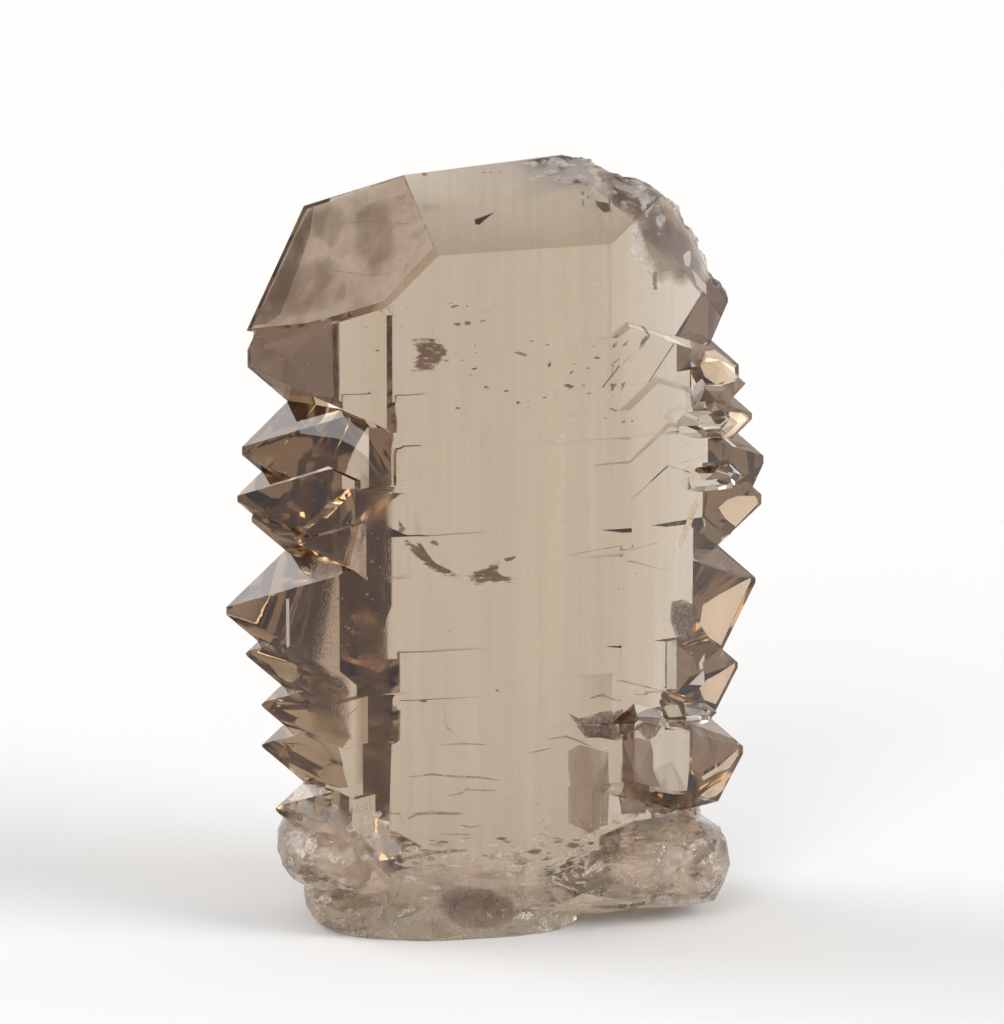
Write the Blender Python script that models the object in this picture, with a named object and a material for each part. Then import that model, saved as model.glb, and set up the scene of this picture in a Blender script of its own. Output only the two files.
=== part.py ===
"""Smoky quartz gwindel: flat quartz crystals stacked with a slow twist and grown together into one solid.

It stands on a flat cut across its broken foot. Sizes are in millimetres and are turned to metres as
the mesh is made. +Z is up the stack, X runs along the crystals and the view from the front is along +Y.
"""

from math import cos, pi, radians, sin, sqrt
from typing import NamedTuple

import bmesh
import bpy
from mathutils import Matrix, Vector, noise

NAME = "smoky_quartz_gwindel"
MM = 0.001

# Quartz: an end face leans back by this angle from the crystal's length
END_TILT = radians(38.2)

# The stack, and how far each crystal runs into its neighbour
THICKNESS = 22.0
OVERLAP = 0.3

# The front view that places are measured in: seen from this far above, with heights from the foot
VIEW_TILT = radians(13.0)
FOOT_DROP = 2.45

# A block of rough that every crystal is cut from
ROUGH = 160.0


class Point(NamedTuple):
    """A crystal's point: where the front view shows it, its depth behind the front, and its form.

    edge is the upright edge at its tip, lacks names the faces that never grew, and behind is how far
    the back face stands off the tip.
    """

    x: float
    height: float
    depth: float
    edge: float = 0.6
    lacks: tuple = ()
    behind: float = 0.0


class Crystal(NamedTuple):
    """A crystal of the stack: its points, its turn in degrees, and two heights on its front face."""

    left: Point
    right: Point
    turn: float
    floor: float
    ceiling: float


class Lump(NamedTuple):
    """A broken knob of the foot or the shoulder: its centre as the front view shows it, and its half sizes."""

    x: float
    height: float
    depth: float
    half: tuple
    seed: int


# From the foot up. Where one end stops short of its neighbours, its point is hidden among theirs.
STACK = (
    Crystal(Point(-22.0, 12.6, 6.8, 0.8, (), 4.3), Point(19.6, 12.0, 12.0), 10.5, 3.2, 15.6),
    Crystal(Point(-23.5, 19.0, 7.0, 0.4, (), 2.8), Point(24.7, 18.2, 10.5, 0.8, (300,)), 10.5, 15.6, 21.0),
    Crystal(Point(-23.4, 23.1, 7.2, 0.6, (), 2.5), Point(24.2, 26.8, 12.5, 0.5, (300,)), 12.0, 21.0, 26.0),
    Crystal(Point(-24.9, 28.2, 7.4, 0.6, (), 1.3), Point(19.5, 31.0, 13.0), 13.5, 26.0, 30.8),
    Crystal(Point(-27.0, 32.5, 7.7, 0.8), Point(26.0, 35.4, 13.8, 0.5, (300,)), 13.5, 26.0, 38.0),
    Crystal(Point(-24.4, 41.6, 7.6), Point(26.6, 43.6, 14.2, 1.0), 16.0, 38.0, 43.6),
    Crystal(Point(-25.8, 43.6, 7.8), Point(26.8, 47.6, 14.6, 0.8, (300,)), 16.0, 43.6, 47.3),
    Crystal(Point(-25.3, 48.3, 8.3, 0.8), Point(25.6, 52.0, 14.0), 17.8, 47.3, 52.6),
    Crystal(Point(-20.0, 52.0, 8.3), Point(24.2, 56.6, 13.6, 1.2, (300,)), 17.8, 52.6, 60.0),
)

# The top crystal: corners and edges as the front view shows them, with depths
TOP_YAW = radians(19.0)
TOP_FLOOR = 52.6
EAVE = (-5.9, 67.3, 0.0)
RIDGE = (-9.5, 75.2, 11.6)
TOP_POINT = (-24.7, 57.8, 9.0)
TOP_POINT_EDGE = 2.6
CORNER = (11.1, 68.7, 0.0)
APEX = (23.2, 64.2, 14.2)
SHOULDER = (9.5, 77.4, 11.6)
SHOULDER_SLOPE = radians(26.0)

# Its two further growths: a thicker upper left end, and a crest that rises to the right
THICK_END = (-18.6, 72.3, 18.0)
THICK_END_FLOOR = 61.2
CREST_TURN = radians(9.3)

# Broken knobs, and how blunt, rough and finely faceted they are
FOOT_YAW = radians(9.0)
BLUNTNESS = 3.0
ROUGHNESS = 0.16
LUMP_POINTS = 90
LUMPS = (
    Lump(-16.6, 8.8, 8.6, (5.3, 7.5, 3.6), 1),
    Lump(-14.4, 3.5, 8.2, (4.8, 7.0, 2.3), 2),
    Lump(-5.0, 3.0, 10.6, (12.6, 11.0, 5.6), 3),
    Lump(8.6, 7.6, 10.4, (9.4, 11.2, 4.4), 4),
    Lump(16.4, 7.4, 9.0, (6.4, 8.0, 4.3), 5),
)


def seen(x, height, depth, yaw):
    """A place in a crystal's own axes, from where the front view shows it and its depth behind the face."""
    v = depth - THICKNESS / 2
    u = (x + v * sin(yaw)) / cos(yaw)
    y = u * sin(yaw) + v * cos(yaw)
    z = (height - FOOT_DROP - y * sin(VIEW_TILT)) / cos(VIEW_TILT)
    return Vector((u, v, z))


def side_normal(azimuth):
    """A prism face's direction: 0 is the front, and 60 the front slope of the roof."""
    return Vector((0, -cos(radians(azimuth)), sin(radians(azimuth))))


def end_normal(side, azimuth):
    """A sloping end face's direction, with side -1 for the left end and 1 for the right."""
    return Vector((side * sin(END_TILT), 0, 0)) + cos(END_TILT) * side_normal(azimuth)


def cut_crystal(yaw, cuts):
    """A block of rough cut back to each (direction, place), then turned by its share of the twist."""
    bm = bmesh.new()
    bmesh.ops.create_cube(bm, size=ROUGH)
    for normal, place in cuts:
        cut_flat(bm, normal, place)
    bmesh.ops.transform(bm, matrix=Matrix.Rotation(yaw, 4, "Z"), verts=bm.verts)
    return bm


def cut_flat(bm, normal, place):
    """Takes off what lies beyond a plane and closes the cut."""
    geometry = bm.verts[:] + bm.edges[:] + bm.faces[:]
    cut = bmesh.ops.bisect_plane(
        bm, geom=geometry, dist=1e-5, plane_co=place, plane_no=normal, clear_outer=True
    )
    rim = [edge for edge in cut["geom_cut"] if isinstance(edge, bmesh.types.BMEdge)]
    if rim:
        bmesh.ops.contextual_create(bm, geom=rim)


def slab_cuts():
    """The front face and the back face."""
    half = THICKNESS / 2
    return [(side_normal(azimuth), side_normal(azimuth) * half) for azimuth in (0, 180)]


def end_cuts(side, point, yaw):
    """The sloping faces round a point, the upper and the lower ones apart by its upright edge."""
    place = seen(point.x, point.height, point.depth, yaw)
    cuts = []
    for azimuth in range(0, 360, 60):
        if azimuth not in point.lacks:
            rise = point.edge / 2 * ((azimuth in (60, 120)) - (azimuth in (240, 300)))
            stand_off = point.behind if azimuth == 180 else 0
            cuts.append((end_normal(side, azimuth), place + Vector((0, stand_off, rise))))
    return cuts


def stack_crystal(spec):
    """A crystal with a point at each end, a slab in front and behind, and narrow roofs above and below."""
    yaw = radians(spec.turn)
    cuts = slab_cuts() + end_cuts(-1, spec.left, yaw) + end_cuts(1, spec.right, yaw)
    for azimuth in (60, 120, 240, 300):
        edge = spec.ceiling + OVERLAP if azimuth in (60, 120) else spec.floor - OVERLAP
        front_or_back = -THICKNESS / 2 if azimuth in (60, 300) else THICKNESS / 2
        cuts.append((side_normal(azimuth), Vector((0, front_or_back, edge))))
    return cut_crystal(yaw, cuts)


def top_crystal(back_end=TOP_POINT, floor=TOP_FLOOR - OVERLAP, roof_turn=0.0):
    """The uppermost crystal, with its roof, its one large left face and its worn right shoulder."""
    eave, ridge, point, back, corner, apex, shoulder = (
        seen(*place, TOP_YAW) for place in (EAVE, RIDGE, TOP_POINT, back_end, CORNER, APEX, SHOULDER)
    )
    lower = point - Vector((0, 0, TOP_POINT_EDGE / 2))
    cuts = slab_cuts() + [
        (side_normal(60), eave),
        (Matrix.Rotation(roof_turn, 3, "Z") @ side_normal(120), ridge),
        (end_normal(-1, 60), eave),
        (end_normal(-1, 0), point),
        (end_normal(-1, 180), back),
        (end_normal(-1, 300), lower),
        (end_normal(-1, 240), lower),
        (end_normal(1, 0), corner),
        (end_normal(1, 120), apex),
        (end_normal(1, 240), apex),
        (Vector((sin(SHOULDER_SLOPE), 0, cos(SHOULDER_SLOPE))), shoulder),
        (Vector((0, 0, -1)), Vector((0, 0, floor))),
    ]
    return cut_crystal(TOP_YAW, cuts)


def lump(spec):
    """A broken knob: points spread over a blunt egg, each pushed in or out, and wrapped in flat faces."""
    centre = seen(spec.x, spec.height, spec.depth, FOOT_YAW)
    bm = bmesh.new()
    for index in range(LUMP_POINTS):
        rise = 1 - 2 * (index + 0.5) / LUMP_POINTS
        turn = index * pi * (3 - sqrt(5))
        flat = sqrt(1 - rise * rise)
        direction = Vector((flat * cos(turn), flat * sin(turn), rise))
        blunt = sum(abs(part) ** BLUNTNESS for part in direction) ** (-1 / BLUNTNESS)
        stretch = blunt + ROUGHNESS * noise.noise(direction * 2.3 + Vector((spec.seed * 7.0, 0, 0)))
        bm.verts.new(centre + Vector(d * h for d, h in zip(direction * stretch, spec.half)))
    bmesh.ops.convex_hull(bm, input=bm.verts)
    loose = [vert for vert in bm.verts if not vert.link_faces]
    bmesh.ops.delete(bm, geom=loose, context="VERTS")
    bmesh.ops.transform(bm, matrix=Matrix.Rotation(FOOT_YAW, 4, "Z"), verts=bm.verts)
    return bm


def quartz():
    """Smoky quartz: a clear warm brown, smooth on its faces."""
    material = bpy.data.materials.new("smoky quartz")
    material.use_nodes = True
    shader = material.node_tree.nodes["Principled BSDF"]
    shader.inputs["Base Color"].default_value = (0.42, 0.33, 0.23, 1)
    shader.inputs["Roughness"].default_value = 0.04
    shader.inputs["Metallic"].default_value = 0.0
    shader.inputs["IOR"].default_value = 1.544
    shader.inputs["Transmission Weight"].default_value = 1.0
    return material


def new_object(bm, name, collection):
    """An object from a mesh that was made in millimetres."""
    bmesh.ops.scale(bm, vec=(MM, MM, MM), verts=bm.verts)
    bmesh.ops.recalc_face_normals(bm, faces=bm.faces)
    mesh = bpy.data.meshes.new(name)
    bm.to_mesh(mesh)
    bm.free()
    obj = bpy.data.objects.new(name, mesh)
    collection.objects.link(obj)
    return obj


def grow_together(whole, pieces):
    """Joins every piece to the first and stands the result over the world's origin."""
    join = whole.modifiers.new("grown together", "BOOLEAN")
    join.operation = "UNION"
    join.solver = "EXACT"
    join.operand_type = "COLLECTION"
    join.collection = pieces
    depsgraph = bpy.context.evaluated_depsgraph_get()
    mesh = bpy.data.meshes.new_from_object(whole.evaluated_get(depsgraph))
    mesh.name = whole.name
    whole.modifiers.remove(join)
    middles = [(min(values) + max(values)) / 2 for values in zip(*(vert.co for vert in mesh.vertices))]
    mesh.transform(Matrix.Translation((-middles[0], -middles[1], 0)))
    whole.data = mesh


def main():
    for obj in list(bpy.data.objects):
        bpy.data.objects.remove(obj)
    model = bpy.data.collections.new(NAME)
    pieces = bpy.data.collections.new("crystals before joining")
    for collection in (model, pieces):
        bpy.context.scene.collection.children.link(collection)
    pieces.hide_render = True
    solids = [top_crystal(), top_crystal(THICK_END, THICK_END_FLOOR), top_crystal(roof_turn=CREST_TURN)]
    solids += [stack_crystal(spec) for spec in STACK]
    solids += [lump(spec) for spec in LUMPS]
    for bm in solids:
        cut_flat(bm, Vector((0, 0, -1)), Vector((0, 0, 0)))
    whole = new_object(solids[0], NAME, model)
    for index, bm in enumerate(solids[1:]):
        piece = new_object(bm, f"crystal_{index}", pieces)
        piece.hide_render = True
        piece.display_type = "WIRE"
    grow_together(whole, pieces)
    whole.data.materials.clear()
    whole.data.materials.append(quartz())


main()
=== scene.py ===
"""Smoky quartz gwindel: clear brown crystals grown together, with their flaws, in a white studio."""

import random
from math import atan2, copysign, cos, pi, radians, sin, sqrt

import bpy
from mathutils import Matrix, Vector


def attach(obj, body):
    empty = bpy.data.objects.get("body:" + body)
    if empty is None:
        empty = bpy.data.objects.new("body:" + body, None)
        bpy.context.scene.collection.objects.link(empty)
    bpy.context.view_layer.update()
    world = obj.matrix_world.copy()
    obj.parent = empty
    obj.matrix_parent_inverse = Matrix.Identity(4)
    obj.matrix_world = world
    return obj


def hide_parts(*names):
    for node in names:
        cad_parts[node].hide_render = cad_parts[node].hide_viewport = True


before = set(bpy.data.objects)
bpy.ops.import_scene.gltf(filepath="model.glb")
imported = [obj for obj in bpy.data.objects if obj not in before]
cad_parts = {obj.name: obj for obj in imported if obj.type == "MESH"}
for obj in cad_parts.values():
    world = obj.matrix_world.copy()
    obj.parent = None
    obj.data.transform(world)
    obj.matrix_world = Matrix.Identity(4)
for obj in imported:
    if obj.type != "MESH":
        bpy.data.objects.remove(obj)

bl_info = {
    "name": "Smoky Quartz Gwindel",
    "version": (1, 0, 0),
    "blender": (4, 5, 0),
    "location": "View3D > Sidebar > Quartz",
    "description": "Builds a twisted smoky quartz group, its flaws and its white studio",
    "category": "Object",
}

NODE = "smoky_quartz_gwindel"
CRYSTALS = "fused_crystals"
MM = 0.001

# The front view that places are measured in: from this far above the horizon, this many metres wide,
# with lines of sight that start this many millimetres in front
VIEW_TILT = radians(13.0)
VIEW_WIDTH = 0.1024
VIEW_START = 100

# Quartz bends light by this much
QUARTZ_IOR = 1.544

# The slab of crystals: its axis, its turn at the foot and at the top, and the top's height
AXIS = Vector((0.1, -0.79, 0.0))
FOOT_TURN = 10.5
TOP_TURN = 19.0
TOP_HEIGHT = 66.0

# End faces of quartz lean back by this angle from the crystal's length
END_TILT = radians(38.2)

# The twisting prism face: its front outline in the crystals' own axes, where it starts and ends, how far
# from its top it starts to sink into the stack, how deep it sinks, and how many rings it has
SKIN_FRONT = ((-13.4, -10.6), (-10.6, -11.2), (0.0, -11.02), (5.6, -11.14), (8.0, -10.7))
SKIN_HEIGHTS = (4.0, 69.0)
SKIN_FADE = 6.0
SKIN_SINK = 0.5
SKIN_RINGS = 59

# It stays 0.3 mm behind the top crystal's large end faces: a point on each, and the way it faces
SKIN_ENDS = (
    ((-5.66, -14.29, 69.5), (-0.457, -0.573, 0.681)),
    ((23.16, 10.43, 60.6), (0.457, 0.573, 0.681)),
)

# Worn places: a point on each, the way it faces, and the size that is chipped
CHIPS = (
    ((15.4, 5.5, 72.5), (0.41, 0.14, 0.90), (20, 24)),
    ((20.5, 6.6, 65.3), (0.885, 0.022, 0.465), (20, 16)),
)

# Their relief: grid lines in a millimetre, the thickness of the block that cuts it, and the size and depth
# of its lumps
CHIP_GRID = 3.2
CHIP_BLOCK = 8.0
CHIP_LUMPS = ((3.0, 1.3), (1.0, 0.8), (0.5, 0.3))

# Only chipped faces are smaller than this, in square metres
CHIP_FACE = 0.6e-6

# Small crystals beside the large ones, this long: point, side, thickness, height and turn
SMALL_LENGTH = 6.5
SMALL_CRYSTALS = (
    ((24.9, 6.0, 52.6), 1, 6.0, 4.4, 21.0),
    ((24.0, 1.5, 49.5), 1, 3.6, 2.4, 12.0),
    ((24.5, 3.0, 43.8), 1, 3.4, 2.2, 24.0),
    ((22.0, -1.5, 20.4), 1, 3.0, 1.9, 16.0),
    ((-21.4, -6.6, 48.5), -1, 5.0, 2.6, 24.0),
    ((-21.9, -9.0, 42.0), -1, 4.0, 2.2, 10.0),
    ((-21.0, -9.0, 24.6), -1, 4.0, 2.4, 20.0),
    ((-20.4, -10.0, 35.8), -1, 4.0, 2.2, 8.0),
)

# Etched strips on the left of the front: middle, half size, and how far their edges fade
ETCHED = (
    ((-11.9, -13.0, 42.6), (0.9, 4.0, 5.2), 0.8),
    ((-16.6, -11.0, 30.0), (1.4, 5.0, 8.5), 0.9),
    ((-12.4, -13.0, 29.0), (1.0, 4.0, 12.0), 0.9),
)

# Softboxes in the light tent: direction, half width in degrees, and brightness over the tent's own
SOFTBOXES = (
    ((-0.82, 0.31, 0.481), 17.9, 5.0),
    ((0.82, -0.31, 0.481), 17.9, 7.0),
    ((0.82, 0.50, 0.28), 12, 2.0),
    ((-0.30, -0.78, 0.55), 15, 4.0),
)

# Broken knobs of the foot: how many breaks they have, how much of their reach the breaks leave, how wide
# their lumps are, how they are turned, and each knob's middle and half size
KNOB_BREAKS = 60
KNOB_LEFT = (0.93, 1.0)
KNOB_LUMPS = 2.2
KNOB_TURN = radians(9.0)
KNOBS = (
    ((-16.5, -5.9, 7.7), (5.3, 7.5, 3.6)),
    ((-14.3, -5.9, 2.3), (4.8, 7.0, 2.3)),
    ((-4.9, -2.0, 0.8), (12.6, 11.0, 5.6)),
    ((8.7, 0.0, 5.1), (9.4, 11.2, 4.4)),
    ((16.5, -0.2, 5.0), (6.4, 8.0, 4.3)),
)

# Films, in cracks or of painted light and shade, are this thick, and lie at least this deep in millimetres
FILM_THICKNESS = 0.03 * MM
SHALLOWEST = 0.15

# A film is half there where its pattern has this value
HALF_THERE = 0.52

# Irregular small films have this many corners
BLOT_CORNERS = 7

# How a film's patches are squeezed along X, Y and Z: into level streaks, upright ones, or not at all
LEVEL = (0.35, 0.7, 1.6)
UPRIGHT = (1.0, 1.0, 0.015)
EVEN = (1.0, 1.0, 1.0)

# How a film ends and fills, from sharp edges to a cloud that thins out
SHARP = {"edge": 0.2, "lace": 0.5}
BLURRED = {"edge": 0.05, "lace": 0.5, "soft": 0.5}
WISPY = {"lace": 0.6, "soft": 0.14}
SHADOWY = {"edge": -0.08, "lace": 0.6, "soft": 0.3}
CLOUDY = {"edge": -0.45, "lace": 0.55, "soft": 0.3}

# The flaws below, and the films of painted light and shade among them, are given in millimetres in the
# front view. A film has its outline, its depth behind the face, and how it leans.

# Brown films in healed cracks
BROWN_FILMS = (
    (((-9.4, 37.3), (-8.4, 36.8), (-7.4, 36.1), (-6.2, 34.8), (-4.8, 33.7), (-3.2, 33.2), (-3.4, 32.8),
      (-5.2, 33.1), (-6.8, 34.0), (-8.0, 35.3), (-9.2, 36.3)), 3.0, 0.5),
    (((-8.7, 56.8), (-6.8, 57.0), (-4.8, 56.4), (-4.6, 54.9), (-5.5, 54.0), (-7.0, 53.0), (-8.7, 53.2),
      (-8.1, 55.0)), 2.8, 0.6),
    (((-3.2, 33.6), (-2.7, 33.8), (-1.9, 34.0), (-0.8, 34.5), (0.3, 34.9), (0.5, 34.7), (0.2, 34.2),
      (0.5, 33.6), (1.2, 33.2), (1.9, 33.2), (1.8, 32.8), (1.6, 32.6), (0.5, 32.7), (-0.2, 32.4),
      (-0.8, 32.6), (-1.8, 32.4), (-2.7, 32.4), (-3.1, 32.7)), 4.5, 0.5),
    (((0.5, 35.0), (1.8, 35.4), (2.0, 35.2), (1.6, 34.9), (0.8, 34.7)), 4.6, 0.5),
    (((-8.3, 37.1), (-8.0, 37.0), (-7.2, 35.7), (-6.7, 35.1), (-6.2, 34.9), (-5.5, 34.1), (-4.8, 33.7),
      (-4.8, 33.2), (-5.7, 33.7), (-6.5, 34.4), (-7.2, 35.2), (-7.8, 36.1)), 3.4, 0.5),
    (((-6.7, 36.7), (-6.2, 37.0), (-5.7, 36.6), (-5.8, 36.3), (-6.3, 36.4)), 2.4, 0.2),
    (((-9.8, 39.0), (-8.8, 38.0), (-9.3, 37.6), (-9.8, 37.6)), 1.2, 0.2),
    (((9.2, 70.5), (10.4, 70.7), (11.5, 69.4), (11.3, 69.0), (10.1, 69.3), (9.5, 69.6)), 2.5, 0.3),
)

# Small dark flecks
FLECKS = (
    (((1.5, 55.4), (2.1, 55.6), (3.3, 55.1), (2.8, 54.9), (2.1, 55.1)), 3.0, 0.5),
    (((6.1, 52.3), (6.8, 52.3), (7.7, 52.1), (7.1, 51.8), (6.5, 51.9)), 3.6, 0.5),
    (((7.0, 53.5), (7.5, 53.9), (7.3, 53.4), (6.8, 53.0)), 3.4, 0.5),
    (((4.8, 54.2), (5.2, 54.7), (5.2, 54.1), (4.8, 53.8)), 4.4, 0.5),
    (((-1.4, 51.8), (-0.7, 51.8), (-1.3, 52.2)), 2.4, 0.5),
    (((-4.4, 58.2), (-3.5, 58.4), (-3.6, 57.9), (-4.2, 57.9)), 2.0, 0.5),
    (((-3.3, 58.4), (-2.4, 58.4), (-2.6, 57.9), (-3.2, 58.0)), 2.2, 0.5),
    (((-1.9, 58.4), (-1.1, 58.6), (-1.1, 58.4), (-1.7, 58.3)), 2.4, 0.5),
    (((-4.9, 59.7), (-3.9, 60.1), (-3.7, 59.9), (-4.4, 59.6)), 2.1, 0.5),
    (((11.0, 52.5), (11.9, 52.5), (12.1, 51.8), (11.2, 51.5)), 3.8, 0.5),
    (((13.8, 55.7), (14.2, 56.9), (15.2, 57.9), (15.1, 57.1), (14.3, 55.8)), 3.2, 0.5),
    (((12.2, 56.2), (12.9, 56.7), (12.8, 56.1), (12.3, 55.9)), 3.2, 0.5),
    (((15.2, 64.0), (15.9, 64.1), (15.9, 61.4), (15.3, 61.3)), 2.6, 0.3),
    (((-7.9, 21.1), (-6.8, 21.1), (-6.9, 20.8), (-7.9, 20.8)), 2.0, 0.3),
    (((-0.4, 22.0), (0.1, 22.2), (0.1, 21.6), (-0.1, 21.9)), 2.6, 0.3),
)

# Cracks seen nearly edge-on: line in the front view, depth, how wide they look, and how far back they run
RIBBONS = (
    (((6.8, 35.3), (8.9, 35.7), (12.3, 36.3), (13.4, 35.9), (16.2, 36.7)), 3.0, 0.05, 1.1),
    (((-5.8, 16.5), (-3.5, 16.6), (-0.8, 16.5)), 3.0, 0.13, 1.0),
    (((2.8, 15.6), (4.0, 15.8), (5.5, 16.2)), 2.6, 0.13, 0.8),
    (((4.8, 17.0), (6.8, 17.2), (8.1, 16.7), (9.8, 16.0)), 3.4, 0.18, 1.0),
    (((8.9, 20.9), (10.4, 21.0), (12.4, 20.6)), 2.4, 0.13, 0.7),
    (((13.6, 21.8), (13.8, 21.2), (15.7, 21.5), (17.0, 21.4)), 2.8, 0.13, 0.7),
    (((-5.3, 20.3), (-5.1, 19.2), (-5.0, 18.2), (-4.2, 17.7)), 3.0, 0.16, 0.6),
    (((-9.8, 33.6), (-8.0, 33.2)), 1.8, 0.06, 0.6),
    (((-2.2, 36.3), (-1.3, 35.7)), 2.4, 0.05, 0.4),
    (((-3.2, 35.8), (-2.0, 35.1)), 2.6, 0.06, 0.4),
    (((-9.0, 13.3), (-6.6, 13.5), (-4.3, 13.3), (-2.0, 13.2), (0.2, 12.9)), 3.2, 0.16, 1.3),
    (((-5.2, 11.4), (-3.6, 11.6), (-3.2, 12.0), (-1.4, 11.9), (0.0, 11.9)), 2.4, 0.16, 1.0),
    (((-5.0, 11.3), (-4.9, 10.1)), 2.4, 0.1, 0.4),
    (((-11.5, 9.8), (-9.8, 9.6), (-9.3, 8.4)), 2.0, 0.16, 0.6),
    (((-9.0, 9.1), (-7.8, 9.5), (-6.7, 9.6), (-4.2, 9.5), (-3.4, 9.6)), 2.8, 0.25, 1.3),
    (((-3.8, 8.5), (-2.6, 8.2), (-1.4, 8.5)), 2.6, 0.13, 0.6),
    (((-13.6, 7.2), (-11.8, 7.3), (-10.3, 7.5)), 2.2, 0.22, 1.1),
    (((-5.7, 7.6), (-4.0, 7.5), (-2.3, 7.5)), 2.6, 0.1, 0.6),
    (((-11.2, 4.2), (-9.6, 4.8), (-8.0, 5.2), (-6.3, 5.6), (-4.4, 5.7), (-2.9, 5.9)), 3.0, 0.33, 1.7),
    (((-15.6, 11.4), (-13.6, 11.7)), 1.6, 0.29, 0.6),
    (((15.4, 14.7), (17.4, 15.2), (20.2, 17.2)), 2.2, 0.1, 0.6),
    (((-16.1, 71.2), (-15.7, 69.6), (-14.6, 67.9)), 0.3, 0.2, 0.4),
    (((-15.3, 68.1), (-12.6, 68.3), (-10.3, 68.0), (-7.8, 67.9)), 0.3, 0.1, 0.4),
    (((-13.2, 71.4), (-12.8, 69.6), (-13.0, 67.2), (-12.4, 64.6)), 0.3, 0.1, 0.4),
    (((-21.0, 58.6), (-18.8, 62.2), (-15.8, 65.6)), 0.3, 0.06, 0.3),
    (((-16.2, 63.4), (-12.4, 62.8), (-9.9, 63.2)), 0.3, 0.08, 0.3),
    (((11.2, 53.1), (12.4, 54.4), (13.6, 55.6)), 3.0, 0.1, 0.6),
    (((16.4, 45.7), (19.2, 46.5)), 2.0, 0.12, 0.6),
    (((17.8, 44.4), (21.4, 45.5)), 2.2, 0.1, 0.6),
)

# Painted glints: pale films where cracks catch the light
GLINT_FILMS = (
    (((5.4, 46.2), (6.3, 47.6), (6.9, 47.4), (6.6, 46.9), (5.7, 46.0)), 2.6, 0.5),
    (((7.0, 48.5), (7.6, 49.0), (7.9, 48.9), (7.4, 48.4)), 2.8, 0.5),
    (((6.7, 49.3), (7.4, 49.5), (7.0, 49.1)), 2.6, 0.5),
    (((10.9, 51.0), (11.3, 51.3), (11.2, 51.0)), 2.6, 0.5),
    (((9.9, 15.9), (10.9, 16.5), (11.0, 16.2), (10.4, 15.8)), 2.6, 0.5),
)

# Painted glint: a pale gold film on the long wedge of a crack that leans away from the face, where it
# catches the light
GLINT_WEDGES = (
    (((20.0, 41.6), (20.6, 41.0), (19.4, 38.2), (18.2, 36.0), (17.6, 35.2), (18.1, 37.0), (19.1, 39.6)),
     1.6, 0.1),
)

# Painted light: pale warm films under these end faces on the right, for the light from the far side
# that comes back warm through them
WARM_LIGHT_FILMS = (
    (((20.7, 55.8), (21.8, 56.0), (23.3, 54.8), (24.0, 54.4), (24.0, 53.1), (23.2, 52.6), (21.8, 52.4),
      (20.7, 53.2), (20.3, 54.5)), 0.3, 0.0),
    (((23.5, 49.8), (24.7, 49.7), (25.3, 49.3), (25.3, 48.9), (23.9, 47.5), (22.9, 47.1), (22.3, 47.9),
      (23.0, 48.9)), 0.3, 0.0),
    (((24.3, 41.3), (26.0, 41.3), (26.3, 40.9), (26.3, 40.5), (24.0, 38.2), (22.9, 39.0), (22.2, 40.1),
      (23.1, 40.9)), 0.3, 0.0),
    (((25.6, 33.0), (25.6, 32.7), (22.5, 26.2), (21.2, 27.1), (20.3, 28.4), (20.6, 30.3), (22.2, 31.3),
      (24.7, 32.6)), 0.3, 0.0),
    (((24.0, 24.4), (24.0, 24.0), (22.0, 20.2), (20.8, 20.7), (20.3, 21.9), (21.0, 22.7), (22.4, 23.4)),
     0.3, 0.0),
    (((20.5, 13.0), (22.4, 14.1), (24.3, 15.7), (24.3, 15.1), (23.4, 13.8), (21.8, 13.2), (20.7, 12.6)),
     0.3, 0.0),
    (((20.2, 10.9), (21.4, 11.9), (22.6, 12.5), (23.6, 13.5), (22.7, 11.6), (22.0, 11.0), (20.8, 10.6)),
     0.3, 0.0),
)

# Painted light: cooler pale films for bright places between them, and a painted highlight line on the left
PALE_LIGHT_FILMS = (
    (((18.4, 65.2), (18.9, 65.7), (19.2, 65.7), (19.2, 64.6), (19.0, 64.1), (18.6, 64.3)), 0.4, 0.0),
    (((19.3, 64.0), (19.8, 63.5), (20.9, 62.4), (20.9, 61.5), (19.9, 62.4)), 0.4, 0.0),
    (((19.2, 51.6), (20.4, 53.0), (20.8, 52.4), (20.7, 50.0), (19.4, 50.0)), 0.5, 0.0),
    (((20.2, 24.4), (20.8, 25.4), (20.8, 24.0), (20.4, 23.7)), 0.4, 0.0),
    (((19.2, 22.3), (20.8, 23.8), (20.8, 22.2)), 0.4, 0.0),
    (((-20.9, 31.1), (-20.6, 31.1), (-20.6, 26.4), (-20.8, 26.2)), 0.3, 0.0),
)
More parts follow.
